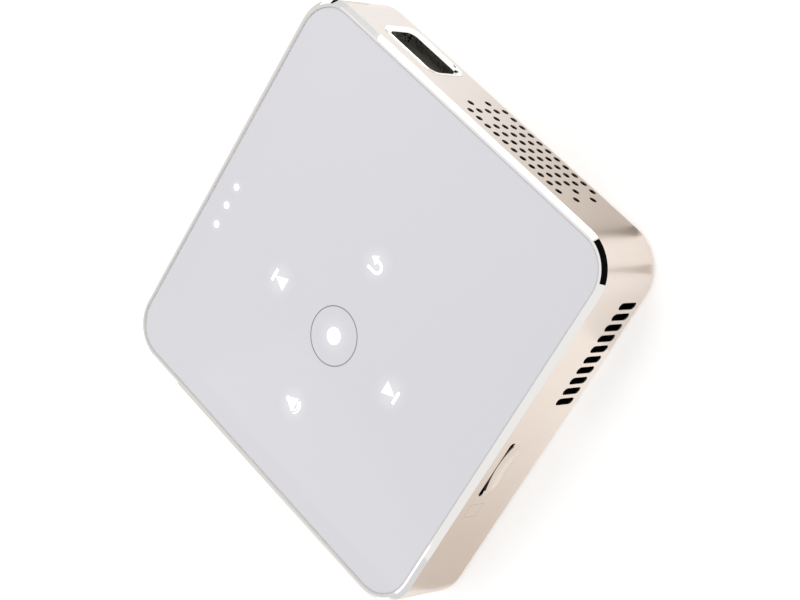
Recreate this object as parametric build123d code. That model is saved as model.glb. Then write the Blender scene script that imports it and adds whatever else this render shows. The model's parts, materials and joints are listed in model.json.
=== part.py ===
from build123d import *
import os
from math import cos, pi, radians, sin

os.makedirs("parts", exist_ok=True)

# A pocket projector. Millimetres, +Z up, origin under the middle of the body where the feet stand.
# The lens looks along -Y, the card slot and the exhaust are on -X, the sockets on +Y, the focus wheel on +X.

# Body
width = 80.0
depth = 80.0
body_height = 14.9
foot_proud = 0.5
corner_radius = 8.0
wall = 1.5
top_chamfer = 0.75
bottom_chamfer = 0.4
rim_land = 0.45
running_gap = 0.05
seat_gap = 0.15

# Glass stack
glass_thickness = 1.1
glass_sink = 0.15
glass_edge_round = 0.3
glass_gap = 0.12
adhesive_thickness = 0.2
ledge_thickness = 1.0
ledge_width = 2.3
touch_board_thickness = 0.8
board_edge_gap = 0.6

# Bottom cover and its fixings
cover_thickness = 1.0
boss_radius = 2.8
boss_inset = 5.2
screw_radius = 0.8
screw_head_radius = 1.5
screw_head_height = 0.7
screw_length = 5.0
drive_radius, drive_depth = 0.6, 0.35
thread_clearance = 0.02
blind_floor = 0.3
post_half = 1.9
pad_half = 1.5
intake_slots = 7
intake_pitch = 2.5
intake_slot_width = 1.1
intake_reach = 9.0
foot_radius = 3.5
foot_recess = 0.5
foot_inset = 10.0
tripod_x, tripod_y = 0.3, -12.0
tripod_radius = 3.0
tripod_outer_radius = 4.3
tripod_flange_radius = 5.0
tripod_length = 6.0
tripod_flange = 0.8

# Projection window in the -Y wall
lens_x, lens_z = 19.4, 6.8
bezel_width, bezel_height = 15.2, 9.8
bezel_radius = 2.4
window_width, window_height = 12.6, 6.9
window_radius = 1.6
bezel_proud = 0.12
bezel_depth = 2.4
bezel_lip = 1.2
window_thickness = 0.8
window_overlap = 0.5

# Perforated field in the -Y wall
hole_radius = 0.69
hole_sides = 12
hole_pitch_x = 2.292
hole_pitch_z = 2.491
hole_columns, hole_rows = 13, 5
hole_first_x = 3.62
hole_top_z = 12.13
mesh_thickness = 0.2

# Louvre slots in the -X wall
louvre_count = 10
louvre_pitch = 2.298
louvre_first_y = -30.08
louvre_z = 4.51
louvre_length = 4.8
louvre_width = 1.5

# Card slot in the -X wall
card_y = 5.3
card_slot_width = 11.9
card_slot_height = 1.4
card_slot_drop = 1.1
scoop_depth = 0.85
scoop_drop = 3.6
card_socket_length = 14.6
card_socket_margin = 1.3
card_socket_height = 1.9
card_travel = 0.8

# Focus mechanism
barrel_radius = 4.4
barrel_length = 15.0
barrel_front_y = -36.2
barrel_bore = 3.5
front_lens_thickness = 2.2
carrier_y = -26.9
carrier_length = 2.2
carrier_wall = 0.85
carrier_arm_height = 1.4
focus_travel = 0.8
focus_turn = radians(60)
wheel_radius = 7.2
wheel_proud = 0.7
wheel_y = -22.0
wheel_thickness = 2.0
wheel_z = 8.9
wheel_flutes = 32
wheel_flute = 0.4
wheel_slot_length, wheel_slot_height = 11.6, 2.8
axle_radius = 1.2
axle_head_radius = 2.0
groove_depth = 1.1
cam_radius = 4.4
cam_pin_radius = 0.55
cam_clearance = 0.1

# Optical engine
engine_x0, engine_x1 = 8.0, 26.0
engine_y0, engine_y1 = -18.4, -4.2
engine_z1 = 11.4
engine_stand = 0.5
ear_radius, ear_height, ear_step = 1.9, 2.0, 0.4
web_half = 0.8
nose_length = 6.0
nose_wall = 0.9
imager_board_thickness = 1.0
imager_board_z = 4.9
module_size = 8.6
module_thickness = 1.2
spreader_thickness = 0.6
spreader_x0 = -4.0

# Cooling
fan_size = 25.0
fan_height = 6.0
fan_x, fan_y = -17.6, -20.2
fan_wall = 0.8
rotor_radius = 9.2
rotor_hub_radius = 5.6
rotor_blades = 21
fan_axle_radius = 0.8
fan_roof = 0.6
fan_intake_radius = 7.0
fan_stand = 0.4
blade_lean = -30.0
blade_thickness = 0.45
pipe_x1, pipe_y = 6.6, -9.8
pipe_end_inset = 1.5
pipe_bend = 7.0
pipe_width, pipe_height = 5.0, 1.8
sink_length = 23.0
sink_width = 6.4
sink_plate = 0.8
fin_count = 20
fin_thickness = 0.4

# Main board and sockets on the +Y wall
board_thickness = 1.0
board_z = 2.6
board_front_y = 1.0
notch_gap = 0.4
socket_gap = 0.2
hdmi_x, hdmi_width, hdmi_height, hdmi_length = 12.0, 15.0, 5.5, 11.0
usb_x, usb_width, usb_height, usb_length = -5.5, 13.1, 5.7, 13.0
power_x, power_width, power_height, power_length = -18.4, 7.6, 2.9, 5.6
jack_x, jack_width, jack_height, jack_length = -27.0, 6.4, 5.4, 11.0
jack_radius = 1.8
switch_x, switch_width, switch_depth, switch_height = 26.0, 8.4, 3.2, 4.6
slider_travel = 2.5
slider_width, slider_height, slider_proud = 3.4, 1.8, 0.9
slider_room = 1.1
socket_recess = 0.4
socket_corner = 0.25
jack_nose_wall = 0.7
reset_button_radius = 0.9
flex_x0, flex_x1 = 22.5, 30.5
flex_upper_y, flex_lower_y, flex_turn_y = 15.0, 17.0, 27.5
card_cavity = 1.1
reset_x, reset_z, reset_radius, reset_travel = 2.75, 5.6, 0.6, 0.3

# Battery and speaker
battery_x0, battery_x1 = -31.0, 19.0
battery_y0, battery_y1 = 2.6, 22.6
battery_height = 4.4
tray_z = 5.6
tray_thickness = 0.6
leg_half = 1.1
speaker_x, speaker_width, speaker_height, speaker_depth = -10.0, 24.0, 9.6, 3.6

# Derived levels
base = foot_proud
top = base + body_height
glass_top = top - glass_sink
glass_bottom = glass_top - glass_thickness
ledge_top = glass_bottom - adhesive_thickness
ledge_bottom = ledge_top - ledge_thickness
cover_top = base + cover_thickness
touch_board_top = glass_bottom - 0.5
touch_board_bottom = touch_board_top - touch_board_thickness
card_slot_z = touch_board_bottom - card_slot_drop
board_top = board_z + board_thickness

# Derived plan sizes, as half widths from the middle
half_x, half_y = width / 2, depth / 2
inner_x, inner_y = half_x - wall, half_y - wall
pocket_inset = top_chamfer + rim_land
glass_inset = pocket_inset + glass_gap
ledge_inset = pocket_inset + ledge_width
boss_x, boss_y = half_x - boss_inset, half_y - boss_inset
boss_places = [(sx * boss_x, sy * boss_y) for sx in (-1, 1) for sy in (-1, 1)]
foot_x, foot_y = half_x - foot_inset, half_y - foot_inset
foot_places = [(sx * foot_x, sy * foot_y) for sx in (-1, 1) for sy in (-1, 1)]
wheel_x = half_x + wheel_proud - wheel_radius
wheel_bottom = wheel_z - wheel_thickness / 2
wheel_top = wheel_z + wheel_thickness / 2
cam_rate = focus_travel / focus_turn
fan_z0 = cover_top + fan_stand
fan_z1 = fan_z0 + fan_height
sink_x0 = -inner_x + 0.3
sink_y0 = louvre_first_y - louvre_pitch / 2 + 0.2
pipe_x0 = sink_x0 + sink_width / 2
pipe_end_y = sink_y0 + pipe_end_inset
pipe_z0 = engine_z1 - pipe_height
fan_corner = fan_size / 2 - 2
fan_screw_places = [(fan_x + sx * fan_corner, fan_y + sy * fan_corner) for sx, sy in ((1, -1), (1, 1), (-1, 1))]
engine_ears = [(engine_x0 - 1.6, engine_y0 + 1.9), (engine_x1 - 3.0, engine_y1 + 1.6)]
boss_top = touch_board_bottom - 0.15
board_screw_places = [(-33.0, 5.0), (33.0, 5.0), (-33.0, 24.0), (33.0, 24.0)]


def block(x0, x1, y0, y1, z0, z1):
    """A box between six planes."""
    return Pos((x0 + x1) / 2, (y0 + y1) / 2, (z0 + z1) / 2) * Box(x1 - x0, y1 - y0, z1 - z0)


def square_post(x, y, half, z0, z1):
    """An upright square post round a point."""
    return block(x - half, x + half, y - half, y + half, z0, z1)


def rod(x, y, z0, z1, radius):
    """An upright cylinder."""
    return Pos(x, y, (z0 + z1) / 2) * Cylinder(radius, z1 - z0)


def prism(x, y, z0, z1, radius, sides=10):
    """An upright regular prism, for small round shapes inside the case."""
    return extrude(Pos(x, y, z0) * RegularPolygon(radius, sides), z1 - z0)


def rod_y(x, z, y0, y1, radius):
    """A cylinder along Y."""
    return Pos(x, (y0 + y1) / 2, z) * Rot(90, 0, 0) * Cylinder(radius, y1 - y0)


def slab(inset, z0, z1):
    """A rounded square slab, inset from the outline of the body."""
    sketch = RectangleRounded(width - 2 * inset, depth - 2 * inset, corner_radius - inset)
    return extrude(Pos(0, 0, z0) * sketch, z1 - z0)


def along_y(sketch, x, z, y0, y1):
    """A sketch in X and Z, run from y0 to y1."""
    return extrude(Plane.XZ.offset(-y1) * Pos(x, z) * sketch, y1 - y0)


def along_x(sketch, y, z, x0, x1):
    """A sketch in Y and Z, run from x0 to x1."""
    return extrude(Plane.YZ.offset(x0) * Pos(y, z) * sketch, x1 - x0)


def ring(x, y, z0, z1, outer, inner):
    """An upright tube."""
    return rod(x, y, z0, z1, outer) - rod(x, y, z0 - 1, z1 + 1, inner)


def save(node, shape):
    """Writes one node's STEP file."""
    export_step(shape, f"parts/{node}.step")


# Casing


def perforations():
    """Thirteen columns of five small holes, thinned out near both ends of the field."""
    missing = {0: (0, 2, 4), 2: (1, 3), 11: (1, 3), 12: (0, 2, 4)}
    holes = Sketch()
    for column in range(hole_columns):
        for row in range(hole_rows):
            if row in missing.get(column, ()):
                continue
            x = hole_first_x - column * hole_pitch_x
            z = hole_top_z - row * hole_pitch_z
            holes += Pos(x, z) * RegularPolygon(hole_radius, hole_sides)
    return along_y(holes, 0, 0, -half_y - 1, -inner_y + 0.1)


def louvres():
    """The exhaust slots, upright and side by side."""
    slots = Sketch()
    for index in range(louvre_count):
        slots += Pos(louvre_first_y + index * louvre_pitch, louvre_z) * SlotOverall(
            louvre_length, louvre_width, rotation=90
        )
    return along_x(slots, 0, 0, -half_x - 1, -inner_x + 0.1)


def card_opening():
    """The card slot and the scoop below it, turned about an upright axis outside the wall."""
    slot = along_x(
        RectangleRounded(card_slot_width, card_slot_height, card_slot_height / 2 - 0.05),
        card_y, card_slot_z, -half_x - 1, -inner_x + 0.1,
    )
    chord = card_slot_width / 2
    scoop_radius = (chord**2 + scoop_depth**2) / (2 * scoop_depth)
    axis_x = -half_x - (scoop_radius - scoop_depth)
    rim = scoop_radius - scoop_depth
    outline = Polyline((0, card_slot_z - scoop_drop), (0, card_slot_z), (scoop_radius, card_slot_z))
    belly = Spline(
        (scoop_radius, card_slot_z), (rim, card_slot_z - scoop_drop), tangents=[(0, -1), (-1, -1)]
    )
    floor = Line((rim, card_slot_z - scoop_drop), (0, card_slot_z - scoop_drop))
    profile = Plane.XZ * make_face([*outline.edges(), belly, floor])
    scoop = Pos(axis_x, card_y, 0) * revolve(profile, Axis.Z)
    return slot + scoop


def socket_openings():
    """What the +Y wall is cut with for the sockets, the power slider and the reset pin."""
    cut = along_y(
        RectangleRounded(hdmi_width + socket_gap * 2, hdmi_height + socket_gap * 2, socket_corner),
        hdmi_x, board_top + hdmi_height / 2, inner_y - 0.1, half_y + 1,
    )
    cut += along_y(
        RectangleRounded(usb_width + socket_gap * 2, usb_height + socket_gap * 2, socket_corner),
        usb_x, board_top + usb_height / 2, inner_y - 0.1, half_y + 1,
    )
    cut += along_y(
        RectangleRounded(power_width + socket_gap * 2, power_height + socket_gap * 2, 1.0),
        power_x, board_top + power_height / 2, inner_y - 0.1, half_y + 1,
    )
    cut += along_y(Circle(jack_radius + 0.9), jack_x, board_top + jack_height / 2, inner_y - 0.1, half_y + 1)
    cut += along_y(
        SlotOverall(slider_width + slider_travel + 2 * seat_gap, slider_height + 2 * seat_gap),
        switch_x, board_top + switch_height / 2, inner_y - 0.1, half_y + 1,
    )
    cut += along_y(Circle(reset_radius), reset_x, reset_z, inner_y - 0.1, half_y + 1)
    return cut


def side_frame():
    """The aluminium frame: four walls, polished edges, a ledge for the glass and corner screw bosses."""
    frame = slab(0, base, top)
    frame = chamfer(frame.edges().group_by(Axis.Z)[-1], top_chamfer)
    frame = chamfer(frame.edges().group_by(Axis.Z)[0], bottom_chamfer)
    frame -= slab(wall, base - 1, ledge_bottom)
    frame -= slab(ledge_inset, ledge_bottom - 0.1, ledge_top + 0.1)
    frame -= slab(pocket_inset, ledge_top, top + 1)
    for x, y in boss_places:
        frame += prism(x, y, cover_top, boss_top, boss_radius, 14)
    for x, y in boss_places:
        frame -= rod(x, y, cover_top - 1, cover_top + screw_length, screw_radius + thread_clearance)
    bezel_hole = RectangleRounded(bezel_width, bezel_height, bezel_radius)
    frame -= along_y(bezel_hole, lens_x, lens_z, -half_y - 1, -inner_y + 0.1)
    frame -= perforations()
    frame -= louvres()
    frame -= card_opening()
    frame -= socket_openings()
    wheel_slot = RectangleRounded(wheel_slot_length, wheel_slot_height, 0.9)
    frame -= along_x(wheel_slot, wheel_y, wheel_z, inner_x - 0.1, half_x + 1)
    return frame


def bottom_cover():
    """The moulded floor: foot recesses, intake slots, screw holes, posts and the tripod boss."""
    cover = slab(wall + seat_gap, base, cover_top)
    cover += rod(tripod_x, tripod_y, cover_top, base + tripod_length, tripod_outer_radius + 1.0)
    cover -= rod(tripod_x, tripod_y, base - 1, base + tripod_length + 1, tripod_outer_radius)
    cover -= rod(tripod_x, tripod_y, base - 1, base + tripod_flange, tripod_flange_radius)
    for x, y in board_screw_places:
        cover += square_post(x, y, post_half, cover_top, board_z)
        cover -= prism(x, y, base + blind_floor, board_z + 1, screw_radius)
    cover += rod(wheel_x, wheel_y, cover_top, wheel_bottom - 0.2, 2.2)
    cover -= rod(wheel_x, wheel_y, base + 0.6, wheel_bottom, axle_radius + thread_clearance)
    for x, y in foot_places:
        cover -= rod(x, y, base - 1, base + foot_recess, foot_radius + 0.1)
    for x, y in boss_places:
        cover -= rod(x, y, base - 1, cover_top + 1, screw_radius + 0.2)
        cover -= rod(x, y, base - 1, base + screw_head_height, screw_head_radius + 0.1)
    for index in range(intake_slots):
        offset = (index - (intake_slots - 1) / 2) * intake_pitch
        half = (intake_reach**2 - offset**2) ** 0.5
        side = intake_slot_width / 2
        tip = half - side
        slot = make_face(Polyline(
            (-half, 0), (-tip, side), (tip, side), (half, 0), (tip, -side), (-tip, -side), close=True
        ))
        cover -= extrude(Pos(fan_x, fan_y + offset, base - 1) * slot, cover_thickness + 2)
    for x, y in fan_screw_places:
        cover += square_post(x, y, pad_half, cover_top, fan_z0)
    for x, y in engine_ears:
        cover += square_post(x, y, pad_half, cover_top, cover_top + engine_stand)
    for x, y in fan_screw_places + engine_ears:
        cover -= prism(x, y, base + blind_floor, fan_z0 + 1, screw_radius)
    return cover


def top_glass():
    """The touch glass, softened all round its upper edge."""
    glass = slab(glass_inset, glass_bottom, glass_top)
    return fillet(glass.edges().group_by(Axis.Z)[-1], glass_edge_round)


def glass_adhesive():
    """The bonding frame between the ledge and the glass."""
    inner = ledge_inset + 0.1
    return slab(glass_inset + 0.1, ledge_top, glass_bottom) - slab(inner, ledge_top - 1, glass_bottom + 1)


def light_diffuser():
    """The milky sheet under the glass, with a pocket over each light."""
    sheet = slab(ledge_inset + board_edge_gap, touch_board_top, glass_bottom)
    return sheet - Compound(children=light_blocks(led_size / 2 + 0.1, led_height + 0.05))


# Touch symbols sit on a cross about this point, and three status lights near the +X edge.
ring_x, ring_y = -0.35, 8.1
symbol_reach = 15.9
status_x, status_y, status_pitch = 34.25, 5.4, 4.3
led_places = [
    (ring_x, ring_y), (ring_x + symbol_reach, ring_y), (ring_x - symbol_reach, ring_y),
    (ring_x, ring_y + symbol_reach), (ring_x, ring_y - symbol_reach),
] + [(status_x, status_y + index * status_pitch) for index in (-1, 0, 1)]
led_size = 1.6
led_height = 0.4


def light_blocks(half, height):
    """A square block on the touch board for each light."""
    return [
        square_post(x, y, half, touch_board_top, touch_board_top + height)
        for x, y in led_places
    ]


def touch_board():
    """The board that senses a finger through the glass."""
    return slab(ledge_inset + board_edge_gap, touch_board_bottom, touch_board_top)


def indicator_leds():
    """Eight small lights on the touch board, in the pockets of the sheet above."""
    return Compound(children=light_blocks(led_size / 2, led_height))


def rubber_feet():
    """Four round feet with a soft lower edge."""
    feet = []
    for x, y in foot_places:
        foot = rod(x, y, 0, base + foot_recess, foot_radius)
        feet.append(chamfer(foot.edges().group_by(Axis.Z)[0], 0.3))
    return Compound(children=feet)


def tripod_insert():
    """The flanged threaded bush that a tripod screw goes into."""
    bush = rod(tripod_x, tripod_y, base, base + tripod_length, tripod_outer_radius - 0.02)
    bush += rod(tripod_x, tripod_y, base, base + tripod_flange, tripod_flange_radius - 0.02)
    return bush - rod(tripod_x, tripod_y, base - 1, base + tripod_length - 0.8, tripod_radius)


def cover_screws():
    """Four countersunk screws up into the corner bosses."""
    screws = []
    for x, y in boss_places:
        head = rod(x, y, base, base + screw_head_height, screw_head_radius)
        shank = prism(x, y, base, cover_top + screw_length - 0.5, screw_radius)
        drive = prism(x, y, base - 1, base + drive_depth, drive_radius, 6)
        screws.append(head + shank - drive)
    return Compound(children=screws)


# Projection window


def lens_bezel():
    """The polished ring round the window, dished from its rim to the opening."""
    front = -half_y - bezel_proud
    back = front + bezel_depth
    outer = RectangleRounded(bezel_width - 0.04, bezel_height - 0.04, bezel_radius)
    shape = along_y(outer, lens_x, lens_z, front, back)
    shape = chamfer(shape.faces().sort_by(Axis.Y)[0].edges(), 0.1)
    shape -= along_y(RectangleRounded(window_width, window_height, window_radius), lens_x, lens_z,
                     front - 1, back + 1)
    mouth = Plane.XZ.offset(-front) * Pos(lens_x, lens_z) * RectangleRounded(
        bezel_width - 0.9, bezel_height - 0.9, bezel_radius - 0.45)
    throat = Plane.XZ.offset(-front - 0.45) * Pos(lens_x, lens_z) * RectangleRounded(
        window_width, window_height, window_radius)
    shape -= loft([mouth, throat])
    seat = RectangleRounded(window_width + 2 * window_overlap, window_height + 2 * window_overlap,
                            window_radius + window_overlap)
    return shape - along_y(seat, lens_x, lens_z, front + bezel_lip, back + 1)


def lens_window():
    """The flat glass behind the bezel's lip."""
    margin = window_overlap - 0.05
    pane = RectangleRounded(window_width + 2 * margin, window_height + 2 * margin, window_radius + margin)
    front = -half_y - bezel_proud + bezel_lip
    return along_y(pane, lens_x, lens_z, front, front + window_thickness)


def lens_barrel():
    """The sliding lens tube, stepped at the front with a light baffle inside."""
    back = barrel_front_y + barrel_length
    barrel = rod_y(lens_x, lens_z, barrel_front_y, back, barrel_radius)
    barrel = chamfer(barrel.edges().sort_by(Axis.Y)[0], 0.4)
    barrel -= rod_y(lens_x, lens_z, barrel_front_y - 1, barrel_front_y + 3.0, barrel_bore)
    barrel -= rod_y(lens_x, lens_z, barrel_front_y, back - 3.0, barrel_bore - 0.7)
    barrel -= rod_y(lens_x, lens_z, back - 3.0, back + 1, barrel_bore)
    return barrel


def lens_disc(y0, thickness, bulge, direction):
    """A lens element between y0 and y0 + thickness, domed on the side that direction points to."""
    radius = barrel_bore - running_gap
    ball_radius = (radius**2 + bulge**2) / (2 * bulge)
    crown = y0 + thickness if direction > 0 else y0
    ball = Pos(lens_x, crown - direction * ball_radius, lens_z) * Sphere(ball_radius)
    return rod_y(lens_x, lens_z, y0, y0 + thickness, radius) & ball


def front_lens():
    """The domed front element."""
    return lens_disc(barrel_front_y + 0.5, front_lens_thickness, 1.0, -1)


def rear_lens():
    """The domed rear element."""
    return lens_disc(barrel_front_y + barrel_length - 2.8, front_lens_thickness, 0.9, 1)


def focus_carrier():
    """The ring clamped on the barrel, its arm, and the pin that runs in the wheel's cam groove."""
    y0, y1 = carrier_y - carrier_length / 2, carrier_y + carrier_length / 2
    outer = barrel_radius + carrier_wall
    pin_y = wheel_y - cam_radius
    z1 = wheel_bottom - 0.5
    z0 = z1 - carrier_arm_height
    shape = rod_y(lens_x, lens_z, y0, y1, outer)
    shape += block(lens_x, wheel_x + 1.2, y0, y1, z0, z1)
    shape = fillet(shape.edges().filter_by(Axis.Z).sort_by(Axis.X)[-2:], 0.8)
    shape += rod(wheel_x, pin_y, z1 - 0.2, wheel_bottom + groove_depth - 0.2, cam_pin_radius)
    return shape - rod_y(lens_x, lens_z, y0 - 1, y1 + 1, barrel_radius + thread_clearance)


def cam_groove():
    """The spiral groove: its radius grows at a steady rate as the wheel turns."""
    half = cam_pin_radius + cam_clearance
    reach = focus_turn + radians(12)
    steps = 9

    def edge(side):
        points = []
        for step in range(steps):
            turn = -reach + 2 * reach * step / (steps - 1)
            radius = cam_radius - cam_rate * turn + side * half
            angle = turn - pi / 2
            points.append((radius * cos(angle), radius * sin(angle)))
        return Spline(*points)

    outer, inner = edge(1), edge(-1)
    ends = [Line(outer @ 0, inner @ 0), Line(outer @ 1, inner @ 1)]
    face = make_face([outer, inner, *ends])
    return extrude(Pos(wheel_x, wheel_y, wheel_bottom - 0.1) * face, groove_depth + 0.1)


def focus_wheel():
    """The thumb wheel: fluted rim, dished top, bore and a spiral cam groove underneath."""
    wheel = rod(wheel_x, wheel_y, wheel_bottom, wheel_top, wheel_radius)
    flutes = Sketch() + [
        spot * Rot(0, 0, 45) * Rectangle(wheel_flute, wheel_flute)
        for spot in PolarLocations(wheel_radius, wheel_flutes)
    ]
    wheel -= extrude(Pos(wheel_x, wheel_y, wheel_bottom - 1) * flutes, wheel_thickness + 2)
    wheel -= ring(wheel_x, wheel_y, wheel_top - 0.4, wheel_top + 1, wheel_radius - 1.2, 3.2)
    wheel -= rod(wheel_x, wheel_y, wheel_bottom - 1, wheel_top + 1, axle_radius + running_gap)
    return wheel - cam_groove()


def focus_axle():
    """The headed pin that the focus wheel turns on."""
    axle = rod(wheel_x, wheel_y, base + 0.6, wheel_top + 0.6, axle_radius)
    axle += rod(wheel_x, wheel_y, wheel_top + 0.15, wheel_top + 0.75, axle_head_radius)
    return axle


# Optical engine


def engine_housing():
    """The cast engine block with its lens nose, screw ears and cooling ribs."""
    z0 = cover_top + engine_stand
    body = block(engine_x0, engine_x1, engine_y0, engine_y1, z0, engine_z1)
    body = fillet(body.edges().filter_by(Axis.Z), 1.2)
    for index in range(5):
        x = engine_x0 + 2.5 + index * 3.2
        body -= block(x, x + 1.6, engine_y1 - 0.5, engine_y1 + 1, z0 + 5.4, engine_z1 - 0.8)
    body += rod_y(lens_x, lens_z, engine_y0 - nose_length, engine_y0 + 1, barrel_radius + nose_wall)
    bore_end = barrel_front_y + barrel_length + focus_travel + 0.4
    body -= rod_y(lens_x, lens_z, engine_y0 - nose_length - 1, bore_end, barrel_radius + running_gap)
    for x, y in engine_ears:
        body += prism(x, y, z0, z0 + ear_height, ear_radius, 14)
    (side_x, side_y), (rear_x, rear_y) = engine_ears
    web_top = z0 + ear_height - ear_step
    body += block(side_x, engine_x0 + 1, side_y - web_half, side_y + web_half, z0, web_top)
    body += block(rear_x - web_half, rear_x + web_half, engine_y1 - 1, rear_y, z0, web_top)
    for x, y in engine_ears:
        body -= prism(x, y, z0 - 1, z0 + ear_height + 1, screw_radius + thread_clearance)
    return body


def imager_board():
    """The small board upright against the -X side of the engine."""
    return block(engine_x0 - imager_board_thickness, engine_x0, engine_y0 + 0.8, engine_y1 - 0.4,
                 imager_board_z, engine_z1 - 0.4)


def imager_chip():
    """The heat slug on the back of the mirror chip."""
    y = (engine_y0 + engine_y1) / 2
    z = (imager_board_z + engine_z1) / 2
    x1 = engine_x0 - imager_board_thickness
    slug = block(x1 - 0.7, x1, y - 3.6, y + 3.6, z - 1.6, z + 1.6)
    return chamfer(slug.faces().sort_by(Axis.X)[0].edges(), 0.2)


def light_modules():
    """Two light sources on copper-cored plates, on the +X and +Y sides of the engine."""
    half = module_size / 2
    z = (cover_top + engine_stand + engine_z1) / 2 - 0.6
    y = (engine_y0 + engine_y1) / 2
    x = engine_x0 + half + 1.0
    side = block(engine_x1, engine_x1 + module_thickness, y - half, y + half, z - half + 0.4, z + half)
    side = chamfer(side.edges().filter_by(Axis.X), 0.6)
    rear = block(x - half, x + half, engine_y1, engine_y1 + module_thickness, z - half + 0.4, z + half - 4.2)
    rear = chamfer(rear.edges().filter_by(Axis.Y), 0.6)
    return Compound(children=[side, rear])


def heat_spreader():
    """The copper plate over the engine, with a wing on the heat pipe."""
    plate = block(spreader_x0, engine_x1 - 0.5, engine_y0 + 1.2, engine_y1 - 0.8, engine_z1,
                  engine_z1 + spreader_thickness)
    return fillet(plate.edges().filter_by(Axis.Z), 1.0)


# Cooling


def heat_pipe():
    """The flattened pipe from under the spreader's wing to the top of the fins."""
    route = FilletPolyline((pipe_x1, pipe_y), (pipe_x0, pipe_y), (pipe_x0, pipe_end_y), radius=pipe_bend)
    pipe = extrude(Pos(0, 0, pipe_z0) * trace(route, line_width=pipe_width), pipe_height)
    rims = pipe.edges().group_by(Axis.Z)
    return chamfer(rims[0] + rims[-1], pipe_height * 0.3)


def heat_sink():
    """Upright fins between two plates, square to the wall so that air runs out between them."""
    x0, x1 = sink_x0, sink_x0 + sink_width
    y1 = sink_y0 + sink_length
    pitch = (sink_length - fin_thickness) / (fin_count - 1)
    sink = block(x0, x1, sink_y0, y1, pipe_z0 - sink_plate, pipe_z0)
    sink += block(x0, x1, sink_y0, y1, cover_top, cover_top + sink_plate / 2)
    for index in range(fin_count):
        y = sink_y0 + index * pitch
        sink += block(x0, x1, y, y + fin_thickness, cover_top, pipe_z0)
    return sink


def fan_cavity(z0, z1):
    """The round chamber of the blower and its outlet towards -X."""
    chamber = Circle(rotor_radius + 1.1)
    outlet = Pos(-fan_size / 4 - 0.1, -fan_size / 4 + fan_wall / 2 + 1.5) * Rectangle(
        fan_size / 2 + 0.2, fan_size / 2 - fan_wall + 3.0
    )
    return extrude(Pos(fan_x, fan_y, z0) * (chamber + outlet), z1 - z0)


def fan_outline(z0, z1):
    """The blower's rounded square."""
    return extrude(Pos(fan_x, fan_y, z0) * RectangleRounded(fan_size, fan_size, 2.0), z1 - z0)


def fan_housing():
    """The blower case: floor with the intake, chamber wall and outlet."""
    floor = 0.6
    roof_z = fan_z1 - fan_roof
    case = fan_outline(fan_z0, roof_z) - fan_cavity(fan_z0 + floor, roof_z + 1)
    case -= rod(fan_x, fan_y, fan_z0 - 1, fan_z1, fan_intake_radius)
    for x, y in fan_screw_places:
        case -= prism(x, y, fan_z0 - 1, fan_z1, screw_radius + thread_clearance)
    return case


def fan_cover():
    """The blower's lid, with the bearing tube hanging from it."""
    roof_z = fan_z1 - fan_roof
    lid = fan_outline(roof_z, fan_z1)
    lid += rod(fan_x, fan_y, fan_z0 + 2.2, roof_z, 2.0)
    lid -= rod(fan_x, fan_y, fan_z0, fan_z1 - 0.3, fan_axle_radius + running_gap)
    for x, y in fan_screw_places:
        lid -= prism(x, y, fan_z0, fan_z1 + 1, screw_radius + thread_clearance)
    return lid


def fan_rotor():
    """The impeller: a hub cup on an axle, and straight blades leant back round it."""
    z0, z1 = fan_z0 + 0.9, fan_z1 - fan_roof - 0.4
    rotor = rod(fan_x, fan_y, z0, z1, rotor_hub_radius)
    rotor = chamfer(rotor.edges().group_by(Axis.Z)[0], 0.5)
    rotor -= ring(fan_x, fan_y, z0 + 0.8, z1 + 1, rotor_hub_radius - 0.7, fan_axle_radius)
    rotor += rod(fan_x, fan_y, z1 - 0.5, z1 + 0.3, fan_axle_radius)
    root = rotor_hub_radius - 0.3
    blade_length = rotor_radius - root
    blades = Sketch()
    for spot in PolarLocations(root, rotor_blades):
        blade = Pos(blade_length / 2, 0) * Rectangle(blade_length, blade_thickness)
        blades += spot * Rot(0, 0, blade_lean) * blade
    return rotor + extrude(Pos(fan_x, fan_y, z0 + 0.6) * blades, z1 - z0 - 0.6)


# Boards, sockets and controls


def main_board():
    """The main board, notched round the rear screw bosses."""
    edge_x, edge_y = inner_x - board_edge_gap, inner_y - board_edge_gap
    board = block(-edge_x, edge_x, board_front_y, edge_y, board_z, board_top)
    board = fillet(board.edges().filter_by(Axis.Z).sort_by(Axis.Y)[:2], 1.5)
    reach = boss_radius + notch_gap
    for side in (-1, 1):
        inner_edge = side * (boss_x - reach)
        x0, x1 = sorted((inner_edge, side * half_x))
        notch = block(x0, x1, boss_y - reach, half_y, board_z - 1, board_top + 1)
        board -= notch
    for x, y in board_screw_places:
        board -= prism(x, y, board_z - 1, board_top + 1, screw_radius + 0.1)
    return board


def screw(x, y, seat_z, length):
    """A pan-head screw whose head rests at seat_z."""
    head = prism(x, y, seat_z, seat_z + screw_head_height, screw_head_radius - 0.1)
    return head + prism(x, y, seat_z - length, seat_z, screw_radius - 0.1)


def board_screws():
    """Four screws that hold the main board on its posts."""
    return Compound(children=[screw(x, y, board_top, 2.4) for x, y in board_screw_places])


def engine_screws():
    """Two screws through the ears of the engine."""
    seat = cover_top + engine_stand + ear_height
    return Compound(children=[screw(x, y, seat, ear_height + 1.1) for x, y in engine_ears])


def fan_screws():
    """Three screws through the corners of the blower."""
    return Compound(children=[screw(x, y, fan_z1, fan_height + 1.0) for x, y in fan_screw_places])


def processor_shield():
    """The pressed shield can over the processor, on the board under the battery."""
    can = block(-9.0, 9.0, 5.0, 20.0, board_top, board_top + 1.5)
    can = chamfer(can.edges().filter_by(Axis.Z), 1.0)
    return chamfer(can.edges().group_by(Axis.Z)[-1], 0.3)


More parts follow.
